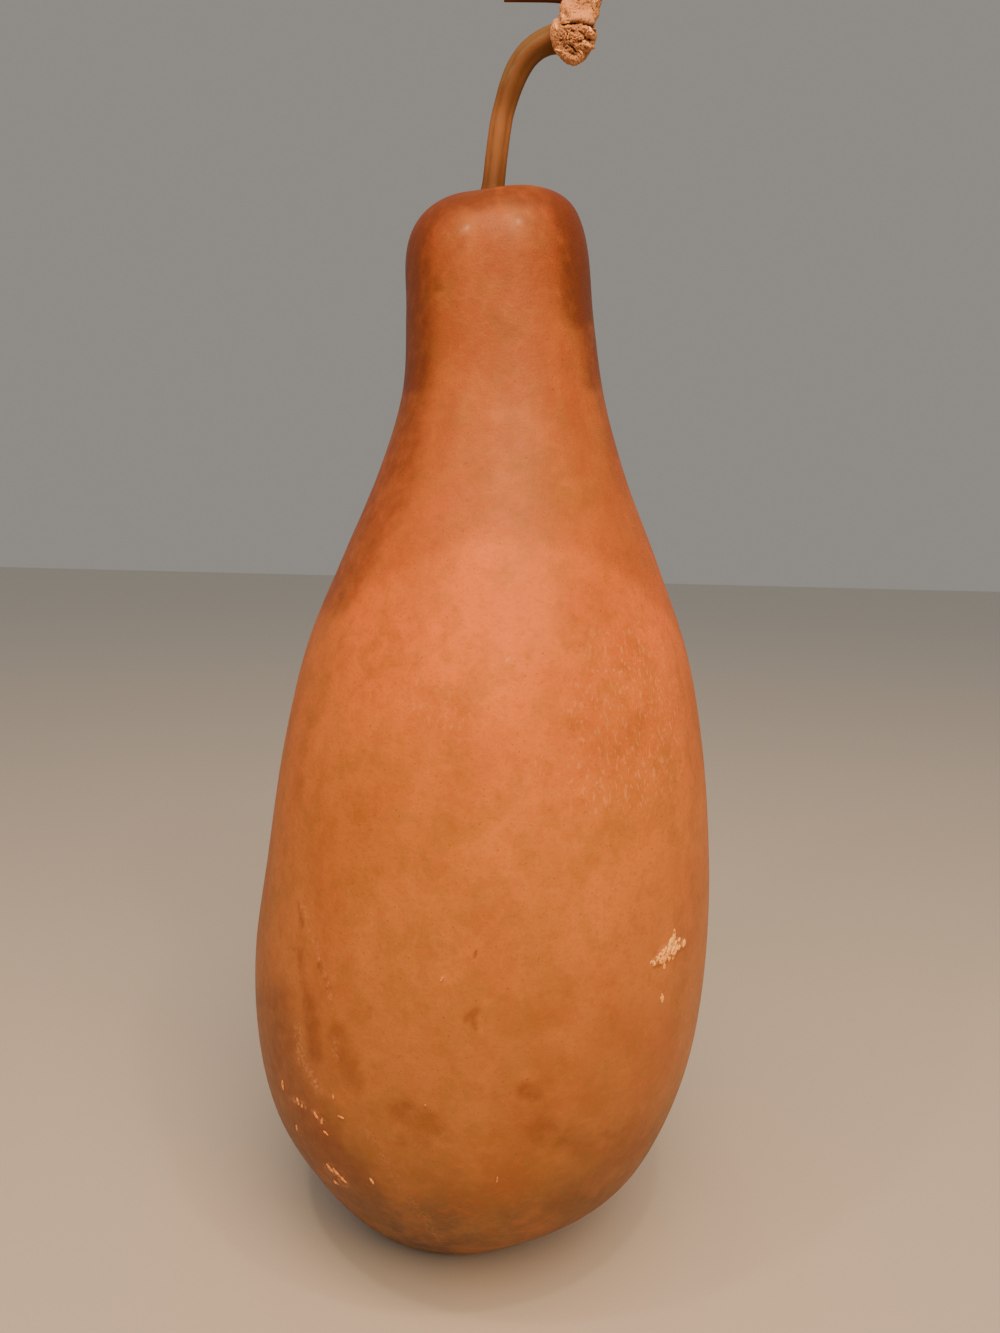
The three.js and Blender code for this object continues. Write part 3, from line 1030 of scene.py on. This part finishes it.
# The darkest twig colour is painted shade for its root, bend and hollows.
TWIG_PAINTED_SHADE = linear("#3E2008")
twig_skin = stalk_finish("dark_dry_twig", TWIG_BODY, TWIG_WORN, TWIG_PAINTED_SHADE, streak_length=14, root=1,
                         worn_from=0, worn_to=10)
twig = spine_piece("side_twig", TWIG_STATIONS, TWIG_SAMPLES)
grown(twig, stalk, {
    "Sides": 36, "Ridges": 4.0, "Ridge Height": 0.06 * MM, "Groove Height": 0.15 * MM, "Grooves": 2.4,
    "Groove Length": 9 * MM, "Seed": 4.0, "Material": twig_skin,
})
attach(twig, "root")
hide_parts("vine_knot")

# Floor and light. A plain pale floor under a pale sky. A broad soft light hangs ahead, two small lamps
# and a strip between them hang near the crown, and a beam warms the gourd from its shoulder down.
FLOOR_SIZE = 12
FLOOR_PALE = linear("#E4E0DA")
floor_mesh = bpy.data.meshes.new("floor")
half = FLOOR_SIZE / 2
corners = [(-half, -half, 0), (half, -half, 0), (half, half, 0), (-half, half, 0)]
floor_mesh.from_pydata(corners, [], [(0, 1, 2, 3)])
floor = placed("floor", floor_mesh)
plain, tree = new_material("pale_floor")
finish_material(tree, {"Base Color": FLOOR_PALE, "Roughness": 0.8})
floor_mesh.materials.append(plain)

SKY_PALE = linear("#E8E2D8")
SKY_STRENGTH = 0.36
world = bpy.data.worlds.new("pale_room")
world.use_nodes = True
sky = world.node_tree.nodes["Background"].inputs
sky["Color"].default_value = SKY_PALE
sky["Strength"].default_value = SKY_STRENGTH
bpy.context.scene.world = world


def hang(name, kind, place, at, watts, code, **settings):
    """A light at a place in metres, turned to what it shines at."""
    lamp = bpy.data.lights.new(name, kind)
    lamp.energy = watts
    lamp.color = linear(code)[:3]
    for setting, value in settings.items():
        setattr(lamp, setting, value)
    holder = placed(name, lamp)
    turned = (Vector(at) - Vector(place)).to_track_quat("-Z", "Y").to_matrix().to_4x4()
    holder.matrix_world = Matrix.Translation(place) @ turned
    return holder


BELLY = (0, 0, 0.3)
CROWN = (0, 0, 0.45)
hang("ceiling", "AREA", place=(0.42, -1.35, 1.80), at=BELLY, watts=38, code="#FFCC94", size=1.6)
hang("lamp_left", "AREA", place=(-0.22, -0.26, 0.725), at=CROWN, watts=0.55, code="#FFD8AE", size=0.03)
hang("lamp_right", "AREA", place=(0.15, -0.30, 0.765), at=CROWN, watts=0.55, code="#FFD8AE", size=0.03)
hang("strip", "AREA", place=(-0.035, -0.28, 0.75), at=CROWN, watts=1.3, code="#FFC49C", shape="RECTANGLE",
     size=0.32, size_y=0.12)
beam = hang("beam", "SPOT", place=(0.15, -0.8, 0.9), at=(0.006, -0.121, 0.004), watts=21, code="#FFD2A0",
            spot_size=math.radians(32.8), spot_blend=0.07, shadow_soft_size=0.004)
beam.visible_glossy = False
kept_dark = bpy.data.collections.new("unlit_by_beam")
kept_dark.objects.link(floor)
beam.light_linking.receiver_collection = kept_dark
kept_dark.collection_objects[0].light_linking.link_state = "EXCLUDE"
